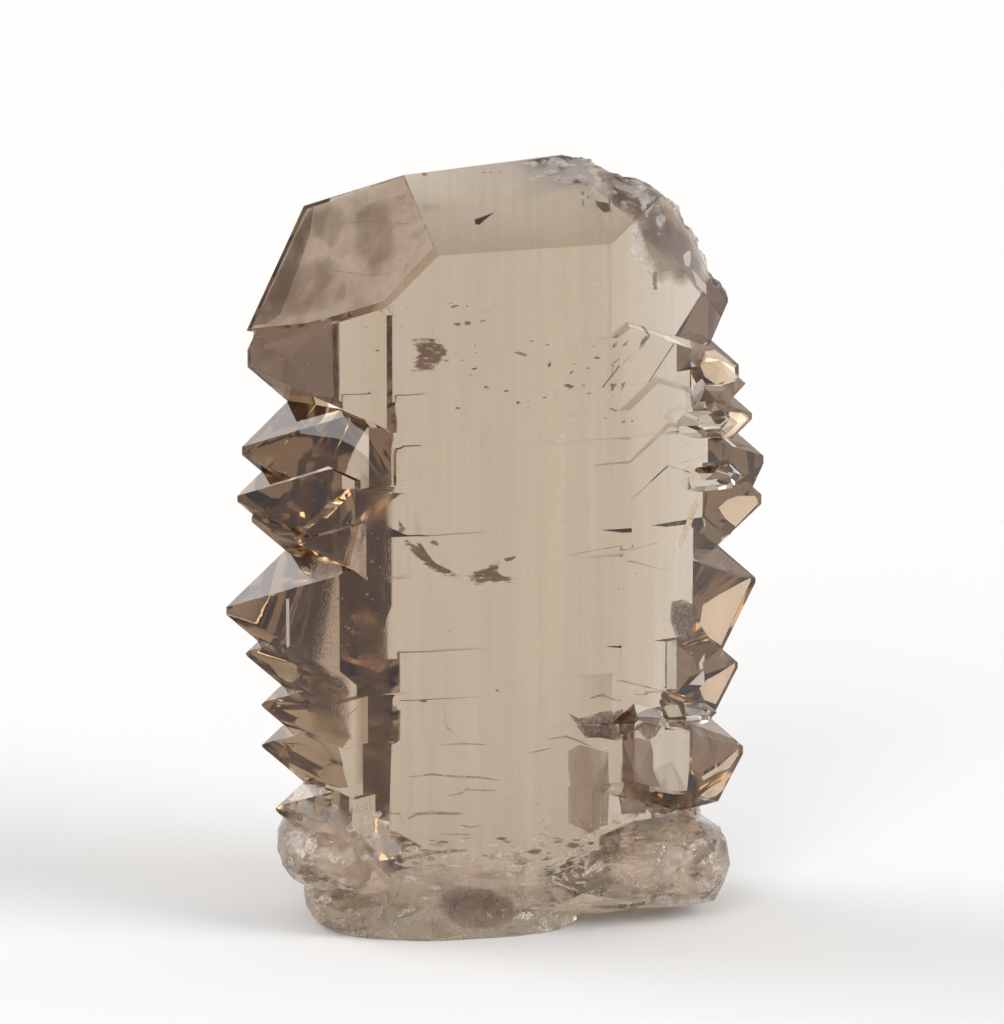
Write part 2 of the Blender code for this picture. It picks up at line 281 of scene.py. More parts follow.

# Painted shade: brown see-through films where end faces of the back look shaded through the front
SHADES = (
    (((12.4, 16.8), (13.8, 17.2), (15.2, 16.8), (15.2, 10.9), (14.9, 9.3), (12.4, 9.3)), 1.0, 0.0),
    (((17.3, 25.6), (18.2, 26.2), (19.8, 25.0), (19.9, 23.8), (18.0, 21.6), (17.3, 21.4)), 1.0, 0.0),
    (((20.7, 52.3), (22.9, 52.3), (23.1, 50.6), (21.3, 49.6), (20.8, 50.2)), 0.5, 0.0),
    (((19.2, 56.9), (21.4, 56.2), (20.2, 55.0), (19.2, 55.2)), 0.5, 0.0),
    (((20.7, 61.7), (22.4, 59.4), (21.3, 56.9), (20.4, 57.5), (19.2, 57.8), (18.1, 57.3), (19.2, 59.3),
      (19.9, 60.9)), 0.4, 0.0),
    (((19.7, 36.0), (22.3, 36.0), (25.6, 33.2), (24.6, 33.1), (20.2, 34.7), (19.6, 35.0)), 0.3, 0.0),
    (((22.5, 25.9), (24.0, 24.7), (23.5, 24.1), (20.8, 23.3), (20.6, 24.5)), 0.3, 0.0),
    (((21.4, 18.9), (24.3, 16.5), (24.3, 15.8), (22.2, 14.3), (20.2, 13.3), (19.4, 14.1), (19.4, 18.1)),
     0.3, 0.0),
    (((-24.8, 56.2), (-24.1, 57.6), (-19.8, 57.7), (-16.2, 58.6), (-16.1, 50.9), (-18.0, 51.1),
      (-20.8, 51.2), (-24.8, 54.3)), 0.4, 0.0),
)

# The back's striated face low on the right, with painted shade: a brown film with upright streaks
STRIPED = (
    (((7.0, 15.9), (8.2, 16.5), (10.9, 15.7), (11.1, 11.1), (11.0, 8.3), (9.0, 7.7), (7.0, 8.7)), 1.6, 0.0),
)

# Dark speckled folds of the back
FOLDS = (
    (((17.4, 30.7), (18.6, 30.9), (20.0, 30.1), (19.8, 26.9), (18.6, 26.5), (17.8, 27.3), (17.2, 28.9)),
     1.2, 0.4),
    (((6.9, 19.6), (8.2, 19.1), (10.2, 19.6), (12.4, 19.7), (12.4, 17.1), (11.8, 16.9), (10.2, 17.8),
      (8.7, 18.5)), 3.0, 0.5),
    (((12.6, 19.7), (17.0, 20.3), (16.4, 18.2), (15.7, 17.2), (15.0, 16.8), (13.8, 18.1), (12.6, 18.7)),
     2.2, 0.5),
)

# Clouded growth just under the large end face on the left
HAZES = (
    (((-19.3, 70.1), (-9.6, 73.1), (-8.0, 69.8), (-6.3, 65.5), (-8.8, 62.9), (-11.0, 60.3),
      (-15.8, 58.9), (-18.6, 58.2), (-22.3, 57.9), (-24.7, 58.0), (-23.8, 60.1), (-21.6, 65.1)), 0.4, 0.0),
)

# Brown mottling in front of it
MOTTLES = (
    (((-19.2, 69.5), (-16.8, 70.6), (-14.8, 70.3), (-14.6, 67.3), (-16.2, 64.7), (-19.0, 66.5)), 0.3, 0.0),
    (((-21.2, 64.7), (-17.6, 66.3), (-14.6, 64.1), (-14.2, 60.3), (-16.8, 58.9), (-21.6, 58.3),
      (-23.2, 59.7)), 0.3, 0.0),
    (((-14.6, 70.3), (-10.2, 71.5), (-9.2, 64.7), (-12.2, 61.7), (-15.0, 65.7)), 0.3, 0.0),
)

# Painted light: pale films where faces of the back show bright low on the right
WINDOW_LIGHT_FILMS = (
    (((15.5, 16.3), (16.8, 17.9), (18.0, 18.1), (19.2, 17.7), (19.2, 13.9), (19.0, 11.7), (17.8, 11.3),
      (15.8, 11.7), (15.5, 13.9)), 0.5, 0.0),
    (((16.9, 26.7), (17.9, 26.9), (17.9, 21.9), (16.9, 21.9)), 0.5, 0.0),
)

# Milky places under the top edge and in the foot's left
CLOUDS = (
    (((3.2, 74.6), (5.0, 75.1), (7.2, 75.2), (8.8, 74.8), (10.2, 73.3), (10.6, 72.1), (7.2, 71.7),
      (4.2, 72.3), (2.6, 73.4)), 0.8, 0.0),
    (((10.2, 72.7), (13.2, 72.3), (15.2, 71.5), (14.2, 69.7), (11.4, 70.1), (9.4, 71.3)), 1.2, 0.0),
    (((-12.6, 10.9), (-10.5, 10.9), (-9.4, 5.9), (-10.4, 4.5), (-12.6, 4.9)), 0.6, 0.0),
    (((-21.4, 10.3), (-19.8, 11.7), (-16.0, 10.3), (-15.0, 7.9), (-17.8, 8.5)), 0.6, 0.0),
)

# The grey-brown cloud under the worn shoulder
SHOULDER = (
    (((14.0, 69.3), (15.9, 70.3), (17.2, 70.3), (18.8, 68.5), (19.8, 66.7), (20.5, 64.7), (20.4, 63.1),
      (19.0, 61.7), (15.7, 61.9), (13.6, 64.5), (13.0, 67.1)), 1.6, 0.0),
)

# Brown shadow along the outline of the worn shoulder and of the left end face, and low in the foot
RIM_SHADOW = (
    (((-6.0, 1.3), (-3.8, 2.5), (-1.0, 2.1), (1.4, 1.1), (1.6, -0.7), (-0.6, -1.9), (-3.6, -1.7),
      (-5.6, -0.5)), 0.6, 0.0),
    (((9.8, 73.5), (13.0, 73.4), (15.5, 72.0), (17.4, 70.3), (19.2, 67.9), (20.8, 65.5), (22.3, 63.6),
      (23.7, 61.8), (22.6, 60.5), (20.6, 61.1), (18.6, 63.5), (16.8, 65.9), (15.2, 67.7), (13.4, 69.5),
      (11.2, 71.1)), 0.4, 0.0),
    (((11.4, 71.9), (14.2, 70.9), (16.6, 68.3), (18.0, 65.9), (17.0, 64.7), (14.8, 66.5), (13.0, 68.7),
      (11.2, 70.3)), 0.9, 0.0),
    (((-19.3, 69.9), (-18.2, 70.2), (-18.6, 67.1), (-19.8, 63.3), (-21.4, 59.1), (-22.6, 58.2),
      (-24.4, 58.0), (-23.6, 60.4), (-21.4, 65.3)), 0.3, 0.0),
)

# Milky light in the broken foot
FOOT_HAZES = (
    (((9.4, 5.3), (12.4, 7.7), (17.0, 8.7), (20.8, 9.1), (24.4, 7.1), (25.6, 4.3), (24.4, 1.9),
      (20.2, 0.7), (14.2, 0.5), (10.0, 1.5)), 0.9, 0.0),
    (((-21.4, 10.3), (-19.2, 11.9), (-15.6, 10.9), (-13.0, 8.3), (-10.6, 5.9), (-8.8, 2.9), (-12.8, 0.9),
      (-17.6, 2.3), (-20.8, 5.3), (-21.7, 7.9)), 0.9, 0.0),
    (((-13.2, 3.7), (-7.8, 5.1), (-1.2, 5.7), (5.4, 5.1), (9.8, 3.1), (8.2, 0.1), (2.2, -1.5),
      (-5.8, -1.9), (-12.6, -0.7), (-15.2, 1.3)), 0.9, 0.0),
)

# Films strewn through a box of the front view: how many, the box's middle and half size, from and to
# which depth, from and to which size, how flat they are, and the seed of their places

# Specks of the dark flecks' kind in the clear middle and on its right
PEPPER = (
    (70, (-1, 34), (10, 26), (0.5, 5), (0.04, 0.12), 0.8, 11),
    (30, (15, 34), (5, 24), (0.5, 4), (0.04, 0.13), 0.8, 12),
    (34, (4, 52.5), (9, 4), (0.5, 4), (0.1, 0.55), 0.35, 15),
    (12, (-8, 58), (5, 3), (0.5, 3), (0.1, 0.45), 0.35, 16),
)

# Pale dust just under the end faces
DUST = (
    (40, (-17, 40), (6, 26), (0.1, 0.4), (0.03, 0.10), 0.7, 13),
    (20, (20, 34), (4, 22), (0.1, 0.4), (0.03, 0.10), 0.7, 14),
)

# White healed fractures that cloud the broken foot
FOOT_VEILS = (
    (60, (-6, 3.6), (12, 2.6), (0.4, 4), (0.4, 1.8), 0.6, 21),
    (40, (11, 6.5), (7, 3), (0.4, 4), (0.4, 1.8), 0.6, 22),
    (30, (-20, 8), (3.5, 3.8), (0.3, 3), (0.3, 1.3), 0.8, 23),
    (24, (20, 5.5), (3.4, 3.8), (0.3, 3), (0.4, 1.6), 0.8, 25),
    (24, (-13, 7.5), (3.5, 3), (0.3, 2), (0.4, 1.5), 0.6, 26),
    (70, (0, 3.8), (20, 3.4), (0.2, 0.9), (0.3, 1.5), 0.12, 24),
)

# Brown shaded fractures in the foot
FOOT_PATCHES = (
    (18, (0.5, 0.6), (4.5, 1.6), (0.8, 4), (0.4, 1.5), 0.5, 31),
    (8, (16.2, 2.4), (1.2, 0.9), (0.4, 2), (0.3, 0.8), 0.7, 32),
    (14, (-7, 6.0), (8, 1.8), (0.8, 4), (0.5, 1.8), 0.25, 33),
    (14, (3.5, 5.5), (6, 1.6), (0.8, 4), (0.3, 1.2), 0.4, 34),
    (12, (20, 5.5), (3, 3.4), (0.6, 3), (0.5, 1.6), 0.6, 35),
    (10, (-19, 6), (3.5, 3.4), (0.6, 3), (0.5, 1.4), 0.6, 36),
)

# White haze under the worn shoulder, along the top and in the left end
SHOULDER_VEILS = (
    (26, (7.0, 73.4), (4.0, 1.3), (0.2, 1), (0.5, 1.8), 0.4, 41),
    (16, (11.5, 71.2), (2.6, 1.6), (0.3, 2), (0.4, 1.4), 0.7, 42),
    (16, (14.6, 67.6), (1.6, 3.0), (0.3, 2), (0.4, 1.3), 1.6, 43),
    (30, (-17, 62), (6, 6), (0.4, 5), (0.2, 1.4), 0.25, 44),
    (26, (-14.5, 31), (2.6, 8), (0.2, 2), (0.06, 0.3), 0.7, 45),
)

# Rust-coloured specks by the top edge and in the foot
IRON_STAINS = (
    (12, (-2, 73.2), (6, 0.9), (0.1, 0.3), (0.1, 0.45), 0.3, 51),
    (9, (8.6, 74.1), (2.4, 0.5), (0.1, 0.3), (0.1, 0.4), 0.4, 52),
    (10, (10, 4.4), (5, 2.2), (0.2, 1), (0.15, 0.5), 0.4, 53),
    (8, (-12, 2.4), (8, 1.6), (0.2, 1), (0.1, 0.35), 0.4, 54),
)


def linear(code):
    """A colour for a shader from its sRGB hex code."""
    parts = [int(code[i : i + 2], 16) / 255 for i in (1, 3, 5)]
    return [p / 12.92 if p <= 0.04045 else ((p + 0.055) / 1.055) ** 2.4 for p in parts] + [1.0]


def add_node(tree, kind, inputs=None, links=None, **settings):
    """Adds a node with its settings, its input values and the outputs that feed it."""
    node = tree.nodes.new(kind)
    for key, value in settings.items():
        setattr(node, key, value)
    for key, value in (inputs or {}).items():
        node.inputs[key].default_value = value
    for key, output in (links or {}).items():
        tree.links.new(output, node.inputs[key])
    return node


def new_material(name):
    """An empty material with its output node."""
    material = bpy.data.materials.new(name)
    material.use_nodes = True
    tree = material.node_tree
    tree.nodes.clear()
    return material, tree, add_node(tree, "ShaderNodeOutputMaterial")


def choose_only(*objects):
    """Selects these objects alone, with the first active."""
    bpy.ops.object.select_all(action="DESELECT")
    for obj in objects:
        obj.select_set(True)
    bpy.context.view_layer.objects.active = objects[0]


def edit(*steps):
    """Runs each step on the active mesh in edit mode, with all of it selected first."""
    bpy.ops.object.mode_set(mode="EDIT")
    for step in steps:
        bpy.ops.mesh.select_all(action="SELECT")
        step()
    bpy.ops.object.mode_set(mode="OBJECT")


def cut(place, normal, threshold=1e-7):
    """A step for edit: takes away the side of a plane that its normal points to, and closes the cut."""
    return lambda: bpy.ops.mesh.bisect(
        plane_co=place, plane_no=normal, use_fill=True, clear_outer=True, threshold=threshold
    )


def settle():
    """Moves the active object's place, turn and size into its mesh."""
    bpy.ops.object.transform_apply(location=True, rotation=True, scale=True)


def add_modifier(obj, kind, **settings):
    """Adds a modifier with its settings and applies it."""
    modifier = obj.modifiers.new(kind.lower(), kind)
    for key, value in settings.items():
        setattr(modifier, key, value)
    bpy.context.view_layer.objects.active = obj
    bpy.ops.object.modifier_apply(modifier=modifier.name)


def turn_at(z):
    """The turn of the crystals at a height in millimetres."""
    return radians(FOOT_TURN + (TOP_TURN - FOOT_TURN) * min(max(z / TOP_HEIGHT, 0), 1))


def inside(x, height, depth):
    """The place in millimetres that the front view shows at (x, height), this deep behind the face."""
    sight = Vector((0, cos(VIEW_TILT), -sin(VIEW_TILT)))
    eye = Vector((x, 0, 0)) + Vector((0, sin(VIEW_TILT), cos(VIEW_TILT))) * height
    eye -= sight * VIEW_START
    found, face, outward, _ = bpy.data.objects[CRYSTALS].ray_cast(eye * MM, sight)
    if not found:
        # Past the crystals' outline: a little further in
        return inside(x * 0.98, height * 0.99 + 0.3, depth)
    facing = -sight.dot(outward)
    bent = sight / QUARTZ_IOR
    bent += (facing / QUARTZ_IOR - sqrt(1 - (1 - facing**2) / QUARTZ_IOR**2)) * outward
    return face / MM + bent * (depth / -bent.dot(outward))


class QuartzSettings(bpy.types.PropertyGroup):
    """The crystals: how they take up light and how their faces are finished."""

    absorption: bpy.props.FloatVectorProperty(
        name="Absorption",
        description="How much red, green and blue light is lost in each metre of crystal",
        default=(25.6, 35.4, 48.4),
        min=0.0,
    )
    knob_grain: bpy.props.FloatProperty(
        name="Grain of the breaks",
        description="Depth of the roughness on broken places",
        default=0.00022,
        unit="LENGTH",
    )


class StageSettings(bpy.types.PropertyGroup):
    """The studio: the camera's place and the light."""

    distance: bpy.props.FloatProperty(
        name="Camera distance", description="From the camera to the specimen", default=0.8, unit="LENGTH"
    )
    height: bpy.props.FloatProperty(
        name="Camera aim", description="Height that the camera looks at", default=0.0409, unit="LENGTH"
    )
    brightness: bpy.props.FloatProperty(
        name="Brightness", description="Light from the white surroundings", default=1.0, min=0.0
    )
    floor: bpy.props.FloatVectorProperty(
        name="Floor",
        description="Colour of the studio floor",
        default=linear("#DFDEDD")[:3],
        subtype="COLOR",
    )


def noise(tree, place, size, detail=3.0, roughness=0.5):
    """Noise whose patches are about this many millimetres across."""
    return add_node(
        tree,
        "ShaderNodeTexNoise",
        {"Scale": 1 / (size * MM), "Detail": detail, "Roughness": roughness},
        {"Vector": place},
    ).outputs["Fac"]


def calculate(tree, operation, first, second):
    """Adds a Math node; each input is a number or an output."""
    node = add_node(tree, "ShaderNodeMath", operation=operation)
    for index, value in enumerate((first, second)):
        if isinstance(value, (int, float)):
            node.inputs[index].default_value = value
        else:
            tree.links.new(value, node.inputs[index])
    return node.outputs[0]


def between(tree, value, low, high, start=0.0, end=1.0):
    """Maps a value from low..high to start..end."""
    limits = {"From Min": low, "From Max": high, "To Min": start, "To Max": end}
    return add_node(tree, "ShaderNodeMapRange", limits, {"Value": value}).outputs[0]


def bump(tree, height, distance, strength, below=None):
    """Relief of a height pattern over the relief below; the strength is a number or an output."""
    links = {"Height": height}
    values = {"Distance": distance}
    if below is not None:
        links["Normal"] = below
    if isinstance(strength, float):
        values["Strength"] = strength
    else:
        links["Strength"] = strength
    return add_node(tree, "ShaderNodeBump", values, links).outputs[0]


def zone(tree, place, middle, half, edge):
    """A mask that is 1 in a box in millimetres and falls to 0 over the edge's width outside it."""
    centre = {1: Vector(middle) * MM}
    away = add_node(tree, "ShaderNodeVectorMath", centre, {0: place}, operation="SUBTRACT")
    size = add_node(tree, "ShaderNodeVectorMath", None, {0: away.outputs[0]}, operation="ABSOLUTE")
    reach = {1: Vector(half) * MM}
    over = add_node(tree, "ShaderNodeVectorMath", reach, {0: size.outputs[0]}, operation="SUBTRACT")
    axes = add_node(tree, "ShaderNodeSeparateXYZ", links={"Vector": over.outputs[0]}).outputs
    most = calculate(tree, "MAXIMUM", calculate(tree, "MAXIMUM", axes[0], axes[1]), axes[2])
    return between(tree, most, 0.0, edge * MM, 1.0, 0.0)


def smoky_quartz(settings):
    """Natural smoky quartz: glassy, with striated prism faces, etched strips and frosted breaks."""
    material, tree, output = new_material("smoky quartz, natural faces")
    coordinates = add_node(tree, "ShaderNodeTexCoord").outputs
    place = coordinates["Object"]
    broken = add_node(tree, "ShaderNodeAttribute", attribute_name="broken").outputs["Fac"]

    # The prism faces look along the view to within 20 degrees, the end faces are further round
    forward = add_node(tree, "ShaderNodeSeparateXYZ", links={"Vector": coordinates["Normal"]}).outputs["Y"]
    prism = between(tree, calculate(tree, "ABSOLUTE", forward, 0), 0.925, 0.945)

    # Striae run straight up the stack, 0.2 to 0.6 mm apart, with slightly darker bands of 1 to 5 mm
    along = add_node(
        tree,
        "ShaderNodeMapping",
        {"Rotation": (0, 0, radians(-14.5)), "Scale": (1, 0.0, 0.02)},
        {"Vector": place},
    ).outputs[0]
    striae = noise(tree, along, 0.6, 6.0, 0.65)
    bands = between(tree, noise(tree, along, 2.2, 8.0, 0.70), 0.36, 0.64, 0.85, 1.0)

    # Etched strips: pits 0.2 mm across, dark because they throw the light aside, a shade painted into the
    # base colour, which is also turned dark brown over the strips
    etched = 0.0
    for strip in ETCHED:
        etched = calculate(tree, "MAXIMUM", zone(tree, place, *strip), etched)
    pits = between(tree, noise(tree, place, 0.20, 2.0), 0.50, 0.60)
    patchy = between(tree, noise(tree, place, 1.6, 3.0), 0.40, 0.58)
    pit_shade = calculate(tree, "MULTIPLY", calculate(tree, "MULTIPLY", pits, patchy), etched)
    # Painted shade of the pits in the base colour, which is also dark brown over the etched strips
    tint = calculate(tree, "MULTIPLY", bands, between(tree, pit_shade, 0.0, 1.0, 1.0, 0.62))
    shares = {
        part: calculate(tree, "MULTIPLY", tint, between(tree, etched, 0, 1, 1, low))
        for part, low in (("Red", 0.56), ("Green", 0.43), ("Blue", 0.32))
    }
    base = add_node(tree, "ShaderNodeCombineColor", links=shares).outputs[0]

    # Broken places are frosted in patches 1 to 3 mm across, over ripples of 1.5 mm down to 0.2 mm
    frost = between(tree, noise(tree, place, 2.4, 4.0, 0.6), 0.38, 0.62, 0.08, 0.5)
    frosted = calculate(tree, "MULTIPLY", frost, broken)
    dull = calculate(tree, "MULTIPLY", etched, 0.16)
    roughness = calculate(tree, "MAXIMUM", frosted, dull)
    ripples = noise(tree, place, 1.5, 3.0, 0.6)
    relief = bump(tree, ripples, 0.0007, calculate(tree, "MULTIPLY", broken, 0.5))
    relief = bump(tree, striae, 0.00004, calculate(tree, "MULTIPLY", prism, 0.16), relief)
    relief = bump(tree, pits, 0.0001, calculate(tree, "MULTIPLY", etched, 0.14), relief)

    # Growth hillocks 2 mm across, very low
    relief = bump(tree, noise(tree, place, 2.4), 0.00015, 0.035, relief)
    surface = add_node(
        tree,
        "ShaderNodeBsdfPrincipled",
        {"IOR": QUARTZ_IOR, "Transmission Weight": 1.0},
        {"Base Color": base, "Roughness": roughness, "Normal": relief},
    )
    density = max(settings.absorption)
    colour = [1 - value / density for value in settings.absorption] + [1]
    colouring = add_node(tree, "ShaderNodeVolumeAbsorption", {"Color": colour, "Density": density})
    tree.links.new(surface.outputs[0], output.inputs["Surface"])
    tree.links.new(colouring.outputs[0], output.inputs["Volume"])
    return material


def flaw_material(name, colour, opacity, cover, size, streaks=EVEN, edge=-0.16, lace=0.72, soft=0.08):
    """A film in a healed crack or of painted light or shade: patchy or streaky, and fuller in its middle
    than at its edge.
    """
    material, tree, output = new_material(name)
    place = add_node(tree, "ShaderNodeTexCoord").outputs["Object"]
    rim = add_node(tree, "ShaderNodeAttribute", attribute_name="rim").outputs["Fac"]
    streaky = add_node(tree, "ShaderNodeMapping", {"Scale": streaks}, {"Vector": place}).outputs[0]
    fullness = between(tree, rim, 0.0, 0.45, edge, cover)
    patches = calculate(tree, "ADD", noise(tree, streaky, size, 8.0, lace), fullness)
    alpha = between(tree, patches, HALF_THERE - soft, HALF_THERE + soft, 0.0, opacity)
    look = {"Base Color": linear(colour), "Roughness": 0.5}
    surface = add_node(tree, "ShaderNodeBsdfPrincipled", look, {"Alpha": alpha})
    tree.links.new(surface.outputs[0], output.inputs["Surface"])
    return material


def copy_crystals():
    """A copy of the solid, with its loose triangles merged back to whole faces."""
    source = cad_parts[NODE]
    crystals = source.copy()
    crystals.data = source.data.copy()
    crystals.parent = None
    for key in list(crystals.keys()):
        del crystals[key]
    crystals.name = crystals.data.name = CRYSTALS
    bpy.context.scene.collection.objects.link(crystals)
    choose_only(crystals)
    edit(
        lambda: bpy.ops.mesh.remove_doubles(threshold=1e-6),
        lambda: bpy.ops.mesh.dissolve_limited(angle_limit=radians(0.3)),
    )
    return crystals


def blunt_reach(way):
    """How far a blunt block, between a ball and a cube, reaches this way."""
    return sum(abs(part) ** 3 for part in way) ** (-1 / 3)


def knob(middle, half, seed, grain):
    """A broken knob: a blunt block, cut back by flat breaks and roughened."""
    bpy.ops.object.select_all(action="DESELECT")
    bpy.ops.mesh.primitive_ico_sphere_add(subdivisions=5, radius=1.0)
    obj = bpy.context.object

    # A little larger than the breaks reach, so that they meet all round
    for vert in obj.data.vertices:
        vert.co *= blunt_reach(vert.co) * 1.02
    rng = random.Random(seed)
    breaks = []
    for _ in range(KNOB_BREAKS):
        outward = Vector([rng.uniform(-1, 1) for _ in range(3)]).normalized()
        breaks.append((outward, blunt_reach(outward) * rng.uniform(*KNOB_LEFT)))
    for vert in obj.data.vertices:
        for outward, reach in breaks:
            over = vert.co.dot(outward) - reach
            if over > 0:
                vert.co -= outward * over
    obj.scale = Vector(half) * MM
    obj.rotation_euler = (0, 0, KNOB_TURN)
    obj.location = Vector(middle) * MM
    settle()
    lumps = bpy.data.textures.new("break lumps", "CLOUDS")
    lumps.noise_scale = KNOB_LUMPS * MM
    lumps.noise_depth = 3
    finish = {"strength": grain * 3, "mid_level": 0.55, "texture_coords": "GLOBAL"}
    add_modifier(obj, "DISPLACE", texture=lumps, **finish)
    choose_only(obj)
    edit(cut((0, 0, 0), (0, 0, -1)))
    return obj


def growth_skin():
    """The stack's front and back prism faces, twisting smoothly over the steps between crystals."""
    bpy.ops.object.select_all(action="DESELECT")
    low, high = SKIN_HEIGHTS
    outline = SKIN_FRONT + tuple((-x, -y) for x, y in SKIN_FRONT)
    middle = (0, 0, (low + high) / 2)
    bpy.ops.mesh.primitive_cylinder_add(vertices=len(outline), depth=high - low, location=middle)
    settle()
    obj = bpy.context.object

    # The cylinder's corners take the places of the outline's
    around = sorted({round(atan2(v.co.y, v.co.x), 4) for v in obj.data.vertices})
    for vert in obj.data.vertices:
        index = around.index(round(atan2(vert.co.y, vert.co.x), 4))
        vert.co.x, vert.co.y = outline[index]

    # Its upright edges are divided, and the rings between them are turned like the crystals they cover
    upright = []
    for edge in obj.data.edges:
        first, second = (obj.data.vertices[index].co.z for index in edge.vertices)
        if abs(first - second) > 1:
            upright.append(edge.index)
    bpy.ops.object.mode_set(mode="EDIT")
    bpy.ops.mesh.select_all(action="DESELECT")
    bpy.ops.mesh.select_mode(type="EDGE")
    bpy.ops.object.mode_set(mode="OBJECT")
    for index in upright:
        obj.data.edges[index].select = True
    bpy.ops.object.mode_set(mode="EDIT")
    bpy.ops.mesh.subdivide(number_cuts=SKIN_RINGS)
    bpy.ops.mesh.select_mode(type="VERT")
    bpy.ops.object.mode_set(mode="OBJECT")
    for vert in obj.data.vertices:
        fade = min(1, (high - vert.co.z) / SKIN_FADE)
        vert.co.y -= copysign((1 - fade) * SKIN_SINK, vert.co.y)
        vert.co = Matrix.Rotation(turn_at(vert.co.z), 3, "Z") @ vert.co + AXIS
    obj.data.transform(Matrix.Scale(MM, 4))
    choose_only(obj)
    edit(*(cut(Vector(place) * MM, normal) for place, normal in SKIN_ENDS))
    return obj


def chisel(place, normal, size, seed):
    """A block with one rough side, to break a surface away."""
    bpy.ops.object.select_all(action="DESELECT")
    across, up = (int(length * CHIP_GRID) for length in size)
    bpy.ops.mesh.primitive_grid_add(x_subdivisions=across, y_subdivisions=up, size=1)
    obj = bpy.context.object
    obj.scale = (size[0] * MM, size[1] * MM, 1)
    settle()

    # Each block takes its lumps from another place of the pattern
    obj.location = (seed * 0.1, 0, 0)
    for width, depth in CHIP_LUMPS:
        lumps = bpy.data.textures.new("shoulder lumps", "CLOUDS")
        lumps.noise_scale = width * MM
        lumps.noise_depth = 1
        finish = {"strength": depth * MM, "mid_level": 0.5, "texture_coords": "GLOBAL", "direction": "Z"}
        add_modifier(obj, "DISPLACE", texture=lumps, **finish)
    bpy.ops.object.mode_set(mode="EDIT")
    bpy.ops.mesh.select_all(action="SELECT")
    bpy.ops.mesh.extrude_region_move(TRANSFORM_OT_translate={"value": (0, 0, CHIP_BLOCK * MM)})
    bpy.ops.mesh.select_all(action="SELECT")
    bpy.ops.mesh.normals_make_consistent(inside=False)
    bpy.ops.object.mode_set(mode="OBJECT")
    obj.location = Vector(place) * MM
    obj.rotation_euler = Vector(normal).to_track_quat("Z", "Y").to_euler()
    settle()
    return obj


def small_crystal(tip, side, thickness, tall, turn):
    """A small crystal that sticks out beside a larger one, with its point at the tip."""
    bpy.ops.object.select_all(action="DESELECT")
    bpy.ops.mesh.primitive_cube_add(size=40)
    obj = bpy.context.object

    # Six end faces meet at the tip, six prism faces run back from them, and a flat cut ends it
    cuts = []
    for azimuth in range(0, 360, 60):
        across = Vector((0, -cos(radians(azimuth)), sin(radians(azimuth))))
        cuts.append((Vector((side * sin(END_TILT), 0, 0)) + cos(END_TILT) * across, Vector((0, 0, 0))))
        reach = thickness / 2 if azimuth in (0, 180) else tall / 2
        cuts.append((across, across * reach))
    cuts.append((Vector((-side, 0, 0)), Vector((-side * SMALL_LENGTH, 0, 0))))
    edit(*(cut(place, normal, 1e-5) for normal, place in cuts))
    obj.scale = (MM, MM, MM)
    obj.rotation_euler = (0, 0, radians(turn))
    obj.location = Vector(tip) * MM
    settle()
    return obj


def outline_film(points, depth, lean=0.4):
    """A film that lies across the view, in a crack or of painted light or shade: its outline as the front
    view shows it.
    """
    bpy.ops.object.select_all(action="DESELECT")
    bpy.ops.mesh.primitive_circle_add(vertices=len(points), fill_type="TRIFAN", radius=1.0)
    obj = bpy.context.object
    middle = [sum(values) / len(points) for values in zip(*points)]
    rim = obj.data.attributes.new("rim", "FLOAT", "POINT")
    for vert, (x, height) in zip(obj.data.vertices, (middle, *points)):
        vert.co = inside(x, height, max(SHALLOWEST, depth + lean * (height - middle[1]))) * MM
        rim.data[vert.index].value = float(vert.index == 0)
    add_modifier(obj, "SOLIDIFY", thickness=FILM_THICKNESS, offset=0.0)
    return obj


def blot(rng, x, height, size, flat):
    """An irregular outline round a place of the front view: half its width, and how flat it is."""
    corners = range(BLOT_CORNERS)
    turns = [rng.uniform(-0.3, 0.3) + corner * 2 * pi / BLOT_CORNERS for corner in corners]
    reaches = [size * rng.uniform(0.5, 1) for _ in turns]
    return [(x + cos(t) * reach, height + sin(t) * reach * flat) for t, reach in zip(turns, reaches)]


def scatter(count, middle, half, depths, sizes, flat, seed):
    """Small films strewn through a box of the front view."""
    rng = random.Random(seed)
    films = []
    for _ in range(count):
        x, height = (m + h * rng.uniform(-1, 1) for m, h in zip(middle, half))
        outline = blot(rng, x, height, rng.uniform(*sizes), flat * rng.uniform(0.6, 1.4))
        films.append(outline_film(outline, rng.uniform(*depths), rng.uniform(-0.8, 0.8)))
    return films


def drawn(outlines):
    """The films of a table of outlines."""
    return [outline_film(*spec) for spec in outlines]


def strewn(boxes):
    """The films of a table of boxes that they are strewn through."""
    return [film for spec in boxes for film in scatter(*spec)]


def ribbon_crack(points, depth, wide, reach):
    """A crack seen nearly edge-on along a line: how wide it looks, and how far back it runs."""
    bpy.ops.object.select_all(action="DESELECT")
    bpy.ops.mesh.primitive_grid_add(x_subdivisions=len(points) - 1, y_subdivisions=1, size=2.0)
    obj = bpy.context.object
    rim = obj.data.attributes.new("rim", "FLOAT", "POINT")
    rows = sorted(obj.data.vertices, key=lambda vert: (vert.co.y, vert.co.x))
    for index, vert in enumerate(rows):
        x, height = points[index % len(points)]

        # The second row of points runs back into the crystal, and less so at the two ends of the line
        back = index >= len(points)
        tip = index % len(points) in (0, len(points) - 1)
        share = 0.3 if tip else 1.0
        rim.data[vert.index].value = 0.25 if tip else 1.0
        vert.co = inside(x, height + back * wide * share, depth + back * reach * share) * MM
    add_modifier(obj, "SOLIDIFY", thickness=FILM_THICKNESS, offset=0.0)
    return obj


